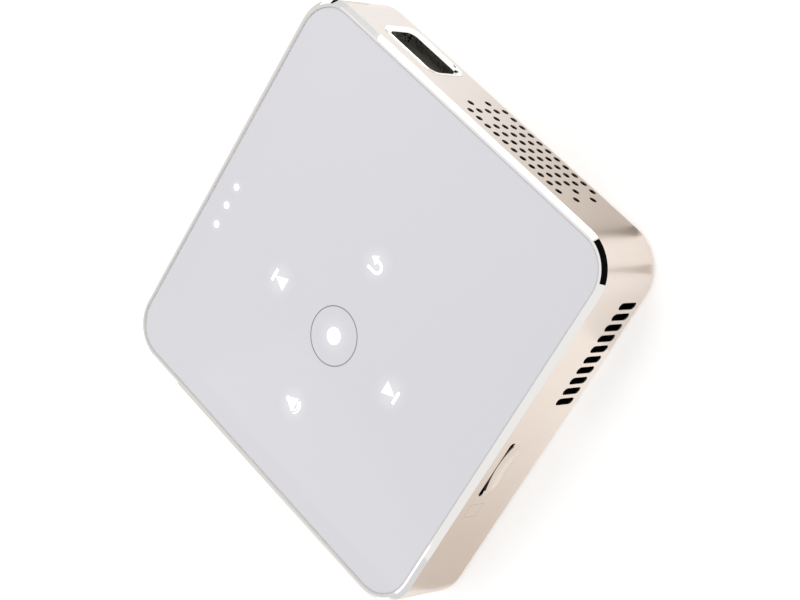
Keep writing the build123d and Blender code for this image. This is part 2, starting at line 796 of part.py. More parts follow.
def board_parts():
    """Memory chips, coils and the power chip."""
    spots = [
        (-20.0, 9.0, 9.0, 6.4, 1.1), (-20.0, 17.0, 9.0, 6.4, 1.1), (13.2, 8.0, 4.0, 4.0, 1.6),
        (13.2, 13.6, 4.0, 4.0, 1.6), (26.5, 7.4, 5.0, 5.0, 0.9), (-27.6, 12.6, 3.0, 3.0, 1.4),
    ]
    return Compound(children=[
        block(x - w / 2, x + w / 2, y - d / 2, y + d / 2, board_top, board_top + h) for x, y, w, d, h in spots
    ])


def hdmi_socket():
    """The picture socket: a shell with its two lower corners cut, a back and a flat tongue."""
    def profile(shrink):
        w, h = hdmi_width / 2 - shrink, hdmi_height / 2 - shrink
        cut = 1.6
        return make_face(Polyline((-w, h), (w, h), (w, -h + cut), (w - cut, -h), (-w + cut, -h), (-w, -h + cut),
                                  close=True))
    y1 = half_y - socket_recess
    y0 = y1 - hdmi_length
    z = board_top + hdmi_height / 2
    shell = along_y(profile(0), hdmi_x, z, y0, y1) - along_y(profile(0.35), hdmi_x, z, y0 + 1.5, y1 + 1)
    return shell + block(hdmi_x - 5.0, hdmi_x + 5.0, y0, y1 - 1.2, z - 0.2, z + 1.1)


def usb_socket():
    """The memory stick socket: a square shell, a back and a thick tongue near its top."""
    y1 = half_y - socket_recess
    y0 = y1 - usb_length
    z = board_top + usb_height / 2
    outer = RectangleRounded(usb_width, usb_height, 0.5)
    inner = RectangleRounded(usb_width - 0.6, usb_height - 0.6, 0.25)
    shell = along_y(outer, usb_x, z, y0, y1) - along_y(inner, usb_x, z, y0 + 1.5, y1 + 1)
    return shell + block(usb_x - 5.5, usb_x + 5.5, y0, y1 - 1.0, z + 0.2, z + 2.0)


def power_socket():
    """The charging socket: a flat shell with its upper corners wide and a thin tongue."""
    y1 = half_y - socket_recess
    y0 = y1 - power_length
    z = board_top + power_height / 2
    outer = RectangleRounded(power_width, power_height, 0.9)
    inner = RectangleRounded(power_width - 0.6, power_height - 0.6, 0.6)
    shell = along_y(outer, power_x, z, y0, y1) - along_y(inner, power_x, z, y0 + 1.2, y1 + 1)
    return shell + block(power_x - 1.9, power_x + 1.9, y0, y1 - 0.8, z - 0.3, z + 0.3)


def audio_jack():
    """The sound socket: a block with a round nose through the wall and a blind bore."""
    y1 = half_y - socket_recess
    y0 = y1 - jack_length
    z = board_top + jack_height / 2
    shape = block(jack_x - jack_width / 2, jack_x + jack_width / 2, y0, inner_y - 0.3, board_top,
                  board_top + jack_height)
    shape += rod_y(jack_x, z, inner_y - 1, y1, jack_radius + jack_nose_wall)
    return shape - rod_y(jack_x, z, y0 + 1.5, y1 + 1, jack_radius)


def power_switch():
    """The fixed body of the power switch."""
    x0, x1 = switch_x - switch_width / 2, switch_x + switch_width / 2
    y1 = inner_y - slider_room
    body = block(x0, x1, y1 - switch_depth, y1, board_top, board_top + switch_height)
    return fillet(body.edges().filter_by(Axis.Y), 0.3)


def power_slider():
    """The sliding cap: a plate behind the wall and a ribbed knob through its slot, at off."""
    x = switch_x - slider_travel / 2
    z = board_top + switch_height / 2
    y0 = inner_y - slider_room + 0.1
    plate = block(x - 3.3, x + 3.3, y0, inner_y - 0.3, z - 1.6, z + 1.6)
    knob = along_y(SlotOverall(slider_width, slider_height), x, z, inner_y - 0.5, half_y + slider_proud)
    for offset in (-0.8, 0.0, 0.8):
        tip = half_y + slider_proud
        knob -= block(x + offset - 0.15, x + offset + 0.15, tip - 0.25, tip + 1, z - 2, z + 2)
    return plate + knob


def reset_switch():
    """The small switch behind the pin hole."""
    y1 = inner_y - 2.4
    body = block(reset_x - 1.3, reset_x + 1.3, y1 - 3.0, y1, board_top, reset_z + 1.4)
    return body - rod_y(reset_x, reset_z, y1 - 0.9, y1 + 1, reset_button_radius + running_gap)


def reset_button():
    """The plunger that a pin presses."""
    y1 = inner_y - 2.4
    return rod_y(reset_x, reset_z, y1 - 0.9 + reset_travel + 0.1, y1 + 1.0, reset_button_radius)


def card_socket():
    """The card socket under the touch board, open at the slot in the wall."""
    half = card_slot_width / 2 + card_socket_margin
    x0, x1 = -inner_x + 0.2, -inner_x + 0.2 + card_socket_length
    shell = block(x0, x1, card_y - half, card_y + half, touch_board_bottom - card_socket_height,
                  touch_board_bottom)
    hollow = block(x0 - 1, x1 - 0.35, card_y - card_slot_width / 2, card_y + card_slot_width / 2,
                   card_slot_z - card_cavity / 2, card_slot_z + card_cavity / 2)
    return shell - hollow


def card_slider():
    """The spring slider at the back of the card socket."""
    x1 = -inner_x + 0.2 + card_socket_length - 0.35 - card_travel - 0.1
    slider = block(x1 - 1.6, x1, card_y - 4.8, card_y + 4.8, card_slot_z - card_cavity / 2 + 0.1,
                   card_slot_z + card_cavity / 2 - 0.1)
    return chamfer(slider.edges().filter_by(Axis.Z).sort_by(Axis.X)[0], 0.6)


def flex_connectors():
    """The two connectors of the touch flex, one on each board."""
    upper = block(flex_x0, flex_x1, 12.0, flex_upper_y, touch_board_bottom - 1.1, touch_board_bottom)
    lower = block(flex_x0, flex_x1, 14.0, flex_lower_y, board_top, board_top + 1.1)
    return Compound(children=[upper, lower])


def touch_flex():
    """The ribbon that joins the touch board to the main board, bent round two quarter turns."""
    z_up, z_down = touch_board_bottom - 0.55, board_top + 0.55
    route = FilletPolyline((flex_upper_y, z_up), (flex_turn_y, z_up), (flex_turn_y, z_down),
                           (flex_lower_y, z_down), radius=2.6)
    ribbon = Plane.YZ.offset(flex_x0 + 0.8) * trace(route, line_width=0.2)
    return extrude(ribbon, flex_x1 - flex_x0 - 1.6)


# Battery and speaker


def battery_tray():
    """The moulded tray over the board: a floor, a low rim and four legs."""
    x0, x1, y0, y1 = battery_x0 - 0.7, battery_x1 + 0.7, battery_y0 - 0.7, battery_y1 + 0.7
    floor_top = tray_z + tray_thickness
    tray = block(x0, x1, y0, y1, tray_z, floor_top + 1.6)
    tray = chamfer(tray.edges().filter_by(Axis.Z), 1.0)
    tray -= block(battery_x0 - 0.15, battery_x1 + 0.15, battery_y0 - 0.15, battery_y1 + 0.15, floor_top,
                  floor_top + 3)
    for x in (x0 + 1.3, x1 - 1.3):
        for y in (y0 + 1.3, y1 - 1.3):
            tray += square_post(x, y, leg_half, board_top, tray_z)
    return tray


def battery_cell():
    """The flat cell, with rounded long edges and a sealed lip at one end."""
    z0 = tray_z + tray_thickness
    cell = block(battery_x0, battery_x1 - 1.6, battery_y0, battery_y1, z0, z0 + battery_height)
    cell = fillet(cell.edges().filter_by(Axis.X), 0.9)
    middle = z0 + battery_height / 2
    return cell + block(battery_x1 - 2.0, battery_x1, battery_y0 + 1, battery_y1 - 1, middle - 0.5, middle + 0.5)


def speaker_mesh():
    """The fine mesh sheet on the inside of the perforated field."""
    reach = hole_radius + 1.6
    x1 = hole_first_x + reach
    x0 = hole_first_x - (hole_columns - 1) * hole_pitch_x - reach
    return block(x0, x1, -inner_y, -inner_y + mesh_thickness, cover_top + 0.1, ledge_bottom - 0.1)


def speaker_module():
    """The slim speaker: a box with an oval rim and a domed diaphragm facing the holes."""
    y0 = -inner_y + mesh_thickness
    z = cover_top + speaker_height / 2
    case = block(speaker_x - speaker_width / 2, speaker_x + speaker_width / 2, y0 + 0.6, y0 + speaker_depth,
                 cover_top, cover_top + speaker_height)
    case = fillet(case.edges().filter_by(Axis.Y), 1.4)
    rim_w, rim_h = speaker_width - 3.0, speaker_height - 1.4
    case += along_y(SlotOverall(rim_w, rim_h), speaker_x, z, y0, y0 + 0.7)
    case -= along_y(SlotOverall(rim_w - 1.6, rim_h - 1.6), speaker_x, z, y0 - 1, y0 + 1.4)
    dome = along_y(SlotOverall(rim_w - 5.0, rim_h - 4.0), speaker_x, z, y0 + 0.7, y0 + 1.5)
    return case + chamfer(dome.faces().sort_by(Axis.Y)[0].edges(), 0.5)


makers = [
    side_frame, bottom_cover, top_glass, glass_adhesive, light_diffuser, touch_board, indicator_leds,
    rubber_feet, tripod_insert, cover_screws, lens_bezel, lens_window, lens_barrel, front_lens, rear_lens,
    focus_carrier, focus_wheel, focus_axle, engine_housing, imager_board, imager_chip, light_modules,
    heat_spreader, heat_pipe, heat_sink, fan_housing, fan_cover, fan_rotor, fan_screws, engine_screws,
    board_screws, main_board, processor_shield, board_parts, hdmi_socket, usb_socket, power_socket,
    audio_jack, power_switch, power_slider, reset_switch, reset_button, card_socket, card_slider,
    flex_connectors, touch_flex, battery_tray, battery_cell, speaker_mesh, speaker_module,
]
for make in makers:
    save(make.__name__, make())
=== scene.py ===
"""The looks of the pocket projector, in metres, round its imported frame."""
import json
import math

import bmesh
import bpy
from mathutils import Matrix, Vector


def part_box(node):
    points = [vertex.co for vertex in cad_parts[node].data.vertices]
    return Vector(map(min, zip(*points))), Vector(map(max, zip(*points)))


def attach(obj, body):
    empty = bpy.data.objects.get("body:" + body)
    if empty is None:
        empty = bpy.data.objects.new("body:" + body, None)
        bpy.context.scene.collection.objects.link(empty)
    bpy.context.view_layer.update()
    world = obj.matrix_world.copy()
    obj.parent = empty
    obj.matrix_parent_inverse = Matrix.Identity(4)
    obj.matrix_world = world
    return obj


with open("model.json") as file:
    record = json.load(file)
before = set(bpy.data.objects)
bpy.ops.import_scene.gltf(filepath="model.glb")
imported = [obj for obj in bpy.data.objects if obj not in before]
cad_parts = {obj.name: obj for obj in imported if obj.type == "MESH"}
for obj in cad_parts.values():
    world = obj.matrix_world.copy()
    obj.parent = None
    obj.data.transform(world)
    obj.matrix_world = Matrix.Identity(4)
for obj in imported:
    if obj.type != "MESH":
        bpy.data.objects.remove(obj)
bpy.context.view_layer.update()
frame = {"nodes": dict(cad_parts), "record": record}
nodes = frame["nodes"]
MM = 0.001
CHASSIS = "chassis"

# The camera, as the photograph was taken: its place, the point on the glass that it aims at, and its roll.
CAMERA_PLACE = Vector((-196.35, -168.84, 325.51)) * MM
CAMERA_AIM = Vector((-8.165, -6.323, 15.24)) * MM
CAMERA_ROLL = math.radians(92.69)
SENSOR_WIDTH = 36.0
FOCAL_PIXELS = 2298.3
IMAGE_WIDTH = 800

glass_low, glass_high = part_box("top_glass")
frame_low, frame_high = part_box("side_frame")
GLASS_TOP = glass_high.z
FRAME_TOP = frame_high.z
CORNER_RADIUS = 8.0 * MM
WALL = 1.5 * MM
TOP_CHAMFER = 0.75 * MM
# How deep the outer satin reaches into the walls before the painted shade of the openings starts, and how far
# down from the top the cut edges lie
SKIN = 0.22 * MM
RIM_DROP = 1.0 * MM

# The finger scoop in the -X wall: its middle and half its length along Y, its foot and top, and its depth.
SCOOP_Y, SCOOP_HALF = 5.3 * MM, 6.3 * MM
SCOOP_LOW, SCOOP_HIGH = 7.9 * MM, 10.55 * MM
SCOOP_DEPTH = 0.8 * WALL

# The colours of the frame: two tones of its satin, its cut edge, and the painted shade inside its openings.
SATIN_DEEP, SATIN_PALE = (0.765, 0.68, 0.615), (0.795, 0.71, 0.645)
CUT_EDGE, OPENING_SHADE = (0.95, 0.93, 0.91), (0.012, 0.010, 0.008)
# How far up a face has to point to be a cut edge, and the share of its roughness that polishing takes off
FACES_UP, POLISH = 0.3, 0.88

# The printed glass: its two tones, and the reach and strength of the glow round the symbols and the lights.
PRINT_DEEP, PRINT_PALE = (0.735, 0.728, 0.762), (0.758, 0.750, 0.785)
SYMBOL_HALO, SYMBOL_GLOW = 4.2 * MM, 0.10
LIGHT_HALO, LIGHT_GLOW = 1.8 * MM, 0.08

# The bead round the glass: its width, and how far its foot and top lie under the face of the glass.
GLASS_GAP = 0.12 * MM
BEAD_FOOT, BEAD_TOP = 0.30 * MM, 0.03 * MM

# Half the thickness of the marks on the glass and of the engraved card, and that card's place and rise.
MARK_RISE = 0.02 * MM
CARD_ICON = (14.7 * MM, 10.8 * MM)
ICON_PROUD = 0.002 * MM


# Material helpers

def material(name):
    """A new material with its node tree and its main shader."""
    made = bpy.data.materials.new(name)
    made.use_nodes = True
    tree = made.node_tree
    return made, tree, tree.nodes["Principled BSDF"]


def node(tree, kind, inputs=(), **settings):
    """Adds a node, with its settings and its input values or links."""
    made = tree.nodes.new(kind)
    for key, value in settings.items():
        setattr(made, key, value)
    for key, value in dict(inputs).items():
        if isinstance(value, bpy.types.NodeSocket):
            tree.links.new(value, made.inputs[key])
        else:
            made.inputs[key].default_value = value
    return made


def maths(tree, operation, a, b=0.0):
    """One sum of two values."""
    return node(tree, "ShaderNodeMath", {0: a, 1: b}, operation=operation).outputs[0]


def mix_colours(tree, factor, a, b):
    """A colour between a and b."""
    return node(tree, "ShaderNodeMix", {0: factor, 6: a, 7: b}, data_type="RGBA").outputs[2]


def ramp(tree, value, low, high, to_low, to_high):
    """A value carried smoothly from one range into another."""
    ends = {0: value, 1: low, 2: high, 3: to_low, 4: to_high}
    return node(tree, "ShaderNodeMapRange", ends, interpolation_type="SMOOTHSTEP").outputs[0]


def noise(tree, scale, detail=3.0, stretch=(1.0, 1.0, 1.0)):
    """Noise in the object's own coordinates."""
    place = node(tree, "ShaderNodeTexCoord").outputs["Object"]
    mapped = node(tree, "ShaderNodeMapping", {"Vector": place, "Scale": stretch}).outputs[0]
    made = node(tree, "ShaderNodeTexNoise", {"Vector": mapped, "Scale": scale, "Detail": detail})
    return made.outputs["Fac"]


def bump(tree, shader, height, distance, strength):
    """Lifts the surface of a shader by a height value."""
    made = node(tree, "ShaderNodeBump", {"Height": height, "Distance": distance, "Strength": strength})
    tree.links.new(made.outputs[0], shader.inputs["Normal"])


def rgba(red, green, blue):
    """A colour with full cover."""
    return (red, green, blue, 1.0)


def varied(tree, shader, colour, factor, spread):
    """A base colour that wanders a little lighter and darker with a noise."""
    dark = rgba(*(c * (1 - spread) for c in colour))
    light = rgba(*(min(1.0, c * (1 + spread)) for c in colour))
    tree.links.new(mix_colours(tree, factor, dark, light), shader.inputs["Base Color"])


def moulded(name, colour, roughness=0.45, grain=9000.0, depth=0.00002, spread=0.06):
    """Moulded plastic or rubber: fine spark grain, slight cloudiness."""
    made, tree, shader = material(name)
    varied(tree, shader, colour, noise(tree, 350.0), spread)
    rough = ramp(tree, noise(tree, 900.0), 0.3, 0.7, roughness - 0.05, roughness + 0.05)
    tree.links.new(rough, shader.inputs["Roughness"])
    bump(tree, shader, noise(tree, grain, 2.0), depth, 0.5)
    return made


def metal(name, colour, roughness=0.3, stretch=(1.0, 1.0, 1.0), grain=5000.0, depth=0.000008, spread=0.05):
    """Bare or plated metal: a grain that a stretch turns into brushing."""
    made, tree, shader = material(name)
    shader.inputs["Metallic"].default_value = 1.0
    varied(tree, shader, colour, noise(tree, 260.0, 3.0, stretch), spread)
    rough = ramp(tree, noise(tree, 1200.0, 3.0, stretch), 0.3, 0.7, roughness - 0.06, roughness + 0.06)
    tree.links.new(rough, shader.inputs["Roughness"])
    bump(tree, shader, noise(tree, grain, 2.0, stretch), depth, 0.4)
    return made


def depth_in_frame(tree, place):
    """How far a point lies inside the rounded square outline of the frame, in metres."""
    straight = frame_high.x - CORNER_RADIUS
    beyond = []
    for axis in (0, 1):
        beyond.append(maths(tree, "SUBTRACT", maths(tree, "ABSOLUTE", place.outputs[axis]), straight))
    square = [maths(tree, "POWER", maths(tree, "MAXIMUM", value, 0.0), 2.0) for value in beyond]
    outside = maths(tree, "SQRT", maths(tree, "ADD", *square))
    inside = maths(tree, "MINIMUM", maths(tree, "MAXIMUM", *beyond), 0.0)
    return maths(tree, "SUBTRACT", CORNER_RADIUS, maths(tree, "ADD", outside, inside))


def between(tree, value, low, high):
    """One where a value lies between two others, and zero elsewhere."""
    above, below = maths(tree, "GREATER_THAN", value, low), maths(tree, "LESS_THAN", value, high)
    return maths(tree, "MULTIPLY", above, below)


def anodised():
    """Blasted and anodised aluminium, with bright cut edges, and near-black painted shade inside its openings
    and down the gap round the glass.
    """
    made, tree, shader = material("anodised_champagne")
    shader.inputs["Metallic"].default_value = 1.0
    geometry = node(tree, "ShaderNodeNewGeometry")
    normal = node(tree, "ShaderNodeSeparateXYZ", {0: geometry.outputs["True Normal"]})
    place = node(tree, "ShaderNodeSeparateXYZ", {0: geometry.outputs["Position"]})
    height = place.outputs[2]
    depth = depth_in_frame(tree, place)
    facing_up = maths(tree, "GREATER_THAN", normal.outputs[2], FACES_UP)
    rim = maths(tree, "MULTIPLY", facing_up, maths(tree, "GREATER_THAN", height, FRAME_TOP - RIM_DROP))
    below_top = maths(tree, "SUBTRACT", FRAME_TOP, height)
    behind_edge = maths(tree, "GREATER_THAN", maths(tree, "ADD", depth, below_top), TOP_CHAMFER + SKIN)
    inside = maths(tree, "MULTIPLY", maths(tree, "GREATER_THAN", depth, SKIN),
                   between(tree, height, frame_low.z + SKIN, GLASS_TOP - 2 * SKIN))
    deep = maths(tree, "MULTIPLY", inside, behind_edge)
    along_wall = between(tree, place.outputs[1], SCOOP_Y - SCOOP_HALF, SCOOP_Y + SCOOP_HALF)
    up_wall = between(tree, height, SCOOP_LOW, SCOOP_HIGH)
    scoop = maths(tree, "MULTIPLY", maths(tree, "MULTIPLY", along_wall, up_wall),
                  between(tree, place.outputs[0], -frame_high.x, -frame_high.x + SCOOP_DEPTH))
    # Painted shade: every face that lies deeper inside the frame than its skin, except the finger scoop, is
    # coloured near black instead of being shaded by the light.
    dark = maths(tree, "MULTIPLY", deep, maths(tree, "SUBTRACT", 1.0, scoop))
    satin = mix_colours(tree, noise(tree, 120.0, 2.0), rgba(*SATIN_DEEP), rgba(*SATIN_PALE))
    bright = mix_colours(tree, rim, satin, rgba(*CUT_EDGE))
    tree.links.new(mix_colours(tree, dark, bright, rgba(*OPENING_SHADE)), shader.inputs["Base Color"])
    fine = ramp(tree, noise(tree, 2500.0, 2.0), 0.3, 0.7, 0.29, 0.35)
    unpolished = maths(tree, "SUBTRACT", 1.0, maths(tree, "MULTIPLY", rim, POLISH))
    rough = maths(tree, "MULTIPLY", fine, unpolished)
    tree.links.new(rough, shader.inputs["Roughness"])
    grain = maths(tree, "MULTIPLY", noise(tree, 9000.0, 2.0), maths(tree, "SUBTRACT", 1.0, rim))
    bump(tree, shader, grain, 0.00001, 0.6)
    return made


def distance_from(tree, x, y):
    """How far a point of the surface is from an upright line."""
    position = node(tree, "ShaderNodeNewGeometry").outputs["Position"]
    flat = node(tree, "ShaderNodeVectorMath", {0: position, 1: (1.0, 1.0, 0.0)}, operation="MULTIPLY")
    made = node(tree, "ShaderNodeVectorMath", {0: flat.outputs[0], 1: (x, y, 0.0)}, operation="DISTANCE")
    return made.outputs["Value"]


# Where the touch symbols are on the glass, in metres: the ring, four symbols round it, and three lights.
RING = (-0.00031, 0.00815)
RING_RADIUS = 0.00538
SYMBOLS = {
    "previous": (0.01575, 0.00810),
    "next": (-0.01630, 0.00785),
    "return": (-0.00030, -0.00800),
    "volume": (-0.00030, 0.02390),
}
STATUS = [(0.03427, 0.00123), (0.03428, 0.00535), (0.03419, 0.00965)]


def white_glass():
    """Glass printed white behind: deep gloss, a cool grey white, and a soft glow round each lit symbol."""
    made, tree, shader = material("white_glass")
    face = mix_colours(tree, noise(tree, 14.0, 2.0), rgba(*PRINT_DEEP), rgba(*PRINT_PALE))
    tree.links.new(face, shader.inputs["Base Color"])
    rough = ramp(tree, noise(tree, 60.0), 0.3, 0.7, 0.05, 0.08)
    tree.links.new(rough, shader.inputs["Roughness"])
    shader.inputs["Specular IOR Level"].default_value = 0.25
    shader.inputs["Coat Weight"].default_value = 0.08
    shader.inputs["Coat Roughness"].default_value = 0.03
    lights = [(place, SYMBOL_HALO, SYMBOL_GLOW) for place in (RING, *SYMBOLS.values())]
    lights += [(place, LIGHT_HALO, LIGHT_GLOW) for place in STATUS]
    glow = 0.0
    for (x, y), halo, level in lights:
        glow = maths(tree, "MAXIMUM", glow, ramp(tree, distance_from(tree, x, y), 0.0, halo, level, 0.0))
    shader.inputs["Emission Color"].default_value = rgba(0.98, 0.98, 1.0)
    tree.links.new(glow, shader.inputs["Emission Strength"])
    return made


def lit(name, strength):
    """A printed window with light behind it, a little uneven."""
    made, tree, shader = material(name)
    shader.inputs["Base Color"].default_value = rgba(0.95, 0.95, 0.97)
    shader.inputs["Emission Color"].default_value = rgba(1.0, 1.0, 1.0)
    shader.inputs["Roughness"].default_value = 0.2
    power = ramp(tree, noise(tree, 400.0), 0.2, 0.8, strength * 0.95, strength * 1.05)
    tree.links.new(power, shader.inputs["Emission Strength"])
    return made


def clear_glass(name, tint, index):
    """Coated optical glass, faintly uneven. A low index stands for a coating that hardly reflects."""
    made, tree, shader = material(name)
    shader.inputs["Transmission Weight"].default_value = 1.0
    shader.inputs["IOR"].default_value = index
    shader.inputs["Roughness"].default_value = 0.0
    paler = rgba(*(min(1.0, c * 1.08) for c in tint))
    tree.links.new(mix_colours(tree, noise(tree, 180.0), rgba(*tint), paler), shader.inputs["Base Color"])
    return made


def circuit_board():
    """Solder mask over copper tracks: a fine grid of slightly raised lines."""
    made, tree, shader = material("board_green")
    place = node(tree, "ShaderNodeTexCoord").outputs["Object"]
    tracks = node(tree, "ShaderNodeTexBrick", {
        "Vector": place, "Scale": 420.0, "Color1": rgba(0.02, 0.16, 0.07), "Color2": rgba(0.03, 0.20, 0.09),
        "Mortar": rgba(0.01, 0.09, 0.04), "Mortar Size": 0.03,
    })
    tree.links.new(tracks.outputs["Color"], shader.inputs["Base Color"])
    shader.inputs["Roughness"].default_value = 0.3
    bump(tree, shader, tracks.outputs["Fac"], 0.00003, 0.3)
    return made


def woven(name, colour, pitch):
    """A fine square weave, as in a dust mesh."""
    made, tree, shader = material(name)
    place = node(tree, "ShaderNodeTexCoord").outputs["Object"]
    upright = node(tree, "ShaderNodeMapping", {"Vector": place, "Rotation": (math.pi / 2, 0, 0)})
    hole, other_hole = (rgba(*(c * share for c in colour)) for share in (0.3, 0.25))
    cells = node(tree, "ShaderNodeTexBrick", {
        "Vector": upright.outputs[0], "Scale": 1.0 / pitch / 2, "Color1": hole, "Color2": other_hole,
        "Mortar": rgba(*colour), "Mortar Size": 0.12,
    })
    tree.links.new(cells.outputs["Color"], shader.inputs["Base Color"])
    shader.inputs["Roughness"].default_value = 0.7
    bump(tree, shader, cells.outputs["Fac"], 0.00005, 0.6)
    return made


# One material for each slot of the record
SLOTS = {
    "anodised_champagne": anodised(),
    "polished_trim": metal("polished_trim", (0.93, 0.90, 0.86), 0.10, depth=0.000003),
    "white_glass": white_glass(),
    "clear_glass": clear_glass("clear_glass", (0.86, 0.84, 0.72), 1.45),
    "cover_plastic": moulded("cover_plastic", (0.78, 0.75, 0.72), 0.5),
    "black_plastic": moulded("black_plastic", (0.018, 0.018, 0.019), 0.42),
    "white_plastic": moulded("white_plastic", (0.80, 0.80, 0.82), 0.35),
    "rubber": moulded("rubber", (0.045, 0.045, 0.047), 0.7, 4000.0, 0.00004),
    "board_green": circuit_board(),
    "chip_black": moulded("chip_black", (0.012, 0.012, 0.013), 0.5),
    "nickel": metal("nickel", (0.72, 0.71, 0.69), 0.26, (1.0, 12.0, 1.0)),
    "steel": metal("steel", (0.58, 0.58, 0.60), 0.28),
    "brass": metal("brass", (0.80, 0.62, 0.30), 0.28, (1.0, 1.0, 14.0)),
    "cast_engine": moulded("cast_engine", (0.03, 0.03, 0.032), 0.55, 3500.0, 0.00006),
    "copper": metal("copper", (0.86, 0.50, 0.34), 0.32, (6.0, 1.0, 1.0)),
    "fin_aluminium": metal("fin_aluminium", (0.76, 0.76, 0.78), 0.35, (8.0, 1.0, 1.0)),
    "flex": moulded("flex", (0.55, 0.28, 0.06), 0.3),
    "cell_wrap": metal("cell_wrap", (0.62, 0.64, 0.67), 0.42),
    "adhesive": moulded("adhesive", (0.03, 0.03, 0.032), 0.8),
}
GLOW = lit("symbol_light", 1.0)
RING_INK = moulded("ring_ink", (0.26, 0.26, 0.28), 0.35)
BEAD_GREY = moulded("bead_grey", (0.90, 0.90, 0.90), 0.5)
ENGRAVED = moulded("engraved_grey", (0.50, 0.44, 0.39), 0.6)
GOLD = metal("contact_gold", (0.90, 0.68, 0.32), 0.25)

# Pieces that look different from the rest of their slot
OWN_LOOKS = {
    "speaker_mesh": woven("dust_mesh", (0.05, 0.05, 0.05), 0.0003),
    "lens_window": clear_glass("window_glass", (0.50, 0.44, 0.33), 1.05),
    # The card socket is coloured near black as painted shade for the inside of the card slot.
    "card_socket": metal("card_shell_painted_shade", (0.10, 0.095, 0.09), 0.4),
    "lens_barrel": moulded("barrel_black", (0.010, 0.010, 0.010), 0.35),
}

slot_of = {part["node"]: part["material_slot"] for part in frame["record"]["subparts"]}
for name, shown in nodes.items():
    shown.material_slots[0].material = OWN_LOOKS.get(name, SLOTS[slot_of[name]])


def object_of(name, bm, look):
    """Turns a bmesh into an object with one material."""
    mesh = bpy.data.meshes.new(name)
    bm.to_mesh(mesh)
    bm.free()
    made = bpy.data.objects.new(name, mesh)
    bpy.context.collection.objects.link(made)
    made.data.materials.append(look)
    return made


def piece(name, bm, look, body=CHASSIS):
    """Turns a bmesh into a piece that rides on a body."""
    bmesh.ops.recalc_face_normals(bm, faces=bm.faces)
    made = object_of(name, bm, look)
    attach(made, body)


def raise_outline(bm, points, z0, z1):
    """A closed prism over an outline, convex or not."""
    low = [bm.verts.new((x, y, z0)) for x, y in points]
    high = [bm.verts.new((x, y, z1)) for x, y in points]
    bm.faces.new(low)
    bm.faces.new(high)
    count = len(points)
    for index in range(count):
        after = (index + 1) % count
        bm.faces.new((low[index], low[after], high[after], high[index]))


def raise_band(bm, inner, outer, z0, z1, closed):
    """A closed prism over the strip between two lines of as many points."""
    rows = [[bm.verts.new((x, y, z)) for x, y in line] for line in (inner, outer) for z in (z0, z1)]
    inner_low, inner_high, outer_low, outer_high = rows
    count = len(inner)
    last = count if closed else count - 1
    for index in range(last):
        after = (index + 1) % count
        for a, b in ((inner_low, outer_low), (inner_high, outer_high), (inner_low, inner_high),
                     (outer_low, outer_high)):
            bm.faces.new((a[index], a[after], b[after], b[index]))
    if not closed:
        for index in (0, count - 1):
            bm.faces.new((inner_low[index], outer_low[index], outer_high[index], inner_high[index]))


# Printed and lit marks on the glass. Across is -X and up is -Y, as the marks read from behind the projector.

def on_glass(centre, points):
    """Points of a mark, in millimetres across and up, placed on the glass."""
    return [(centre[0] - across * MM, centre[1] - up * MM) for across, up in points]


def circle_points(radius, start=0.0, end=360.0, count=48):
    """Points on a circle between two angles."""
    turns = count if end - start >= 360 else count - 1
    first, step = math.radians(start), math.radians(end - start) / turns
    return [(radius * math.cos(first + i * step), radius * math.sin(first + i * step)) for i in range(count)]


def mark(name, centre, outlines=(), bands=(), look=GLOW):
    """One mark made of filled outlines and of bands."""
    bm = bmesh.new()
    z0, z1 = GLASS_TOP - MARK_RISE, GLASS_TOP + MARK_RISE
    for outline in outlines:
        raise_outline(bm, on_glass(centre, outline), z0, z1)
    for inner, outer, closed in bands:
        raise_band(bm, on_glass(centre, inner), on_glass(centre, outer), z0, z1, closed)
    piece(name, bm, look)


def rectangle(x0, x1, y0, y1):
    """The corners of an upright rectangle."""
    return [(x0, y0), (x1, y0), (x1, y1), (x0, y1)]


ring_mm = RING_RADIUS / MM
mark("touch_ring", RING, bands=[(circle_points(ring_mm - 0.09), circle_points(ring_mm + 0.09), True)],
     look=RING_INK)
mark("touch_dot", RING, [circle_points(1.55, count=32)])
skip = [(-1.05, 0.0), (1.6, 1.27), (1.6, -1.27)]
mark("mark_previous", SYMBOLS["previous"], [skip, rectangle(-1.75, -1.2, -1.25, 1.25)])
mark("mark_next", SYMBOLS["next"], [[(-x, y) for x, y in skip], rectangle(1.2, 1.75, -1.25, 1.25)])
mark("mark_return", SYMBOLS["return"],
     [[(-1.6, 0.6), (-0.35, 1.5), (-0.15, -0.3)],
      rectangle(-0.3, 0.46, 0.35, 0.85), rectangle(-1.45, 0.46, -1.65, -1.15)],
     [([(0.45 + x, y - 0.4) for x, y in circle_points(0.75, -90, 90, 13)],
       [(0.45 + x, y - 0.4) for x, y in circle_points(1.25, -90, 90, 13)], False)])
mark("mark_volume", SYMBOLS["volume"],
     [[(-1.9, 0.4), (-1.1, 0.5), (0.45, 1.45), (0.45, -1.4), (-1.1, -0.5), (-1.9, -0.4)]],
     [(circle_points(1.05, -55, 55, 11), circle_points(1.25, -55, 55, 11), False),
      (circle_points(1.6, -55, 55, 11), circle_points(1.8, -55, 55, 11), False)])
for index, centre in enumerate(STATUS):
    mark(f"status_light_{index + 1}", centre, [circle_points(0.62, count=24)])


# The pale bead that seals the gap round the glass

def rounded_square(half, radius, steps=16):
    """Points round a square with round corners about the middle."""
    points = []
    for quarter in range(4):
        turn = math.radians(90 * quarter)
        reach = half - radius
        middle_x = reach * (math.cos(turn) - math.sin(turn))
        middle_y = reach * (math.sin(turn) + math.cos(turn))
        for step in range(steps + 1):
            angle = turn + math.radians(90 * step / steps)
            points.append((middle_x + radius * math.cos(angle), middle_y + radius * math.sin(angle)))
    return points


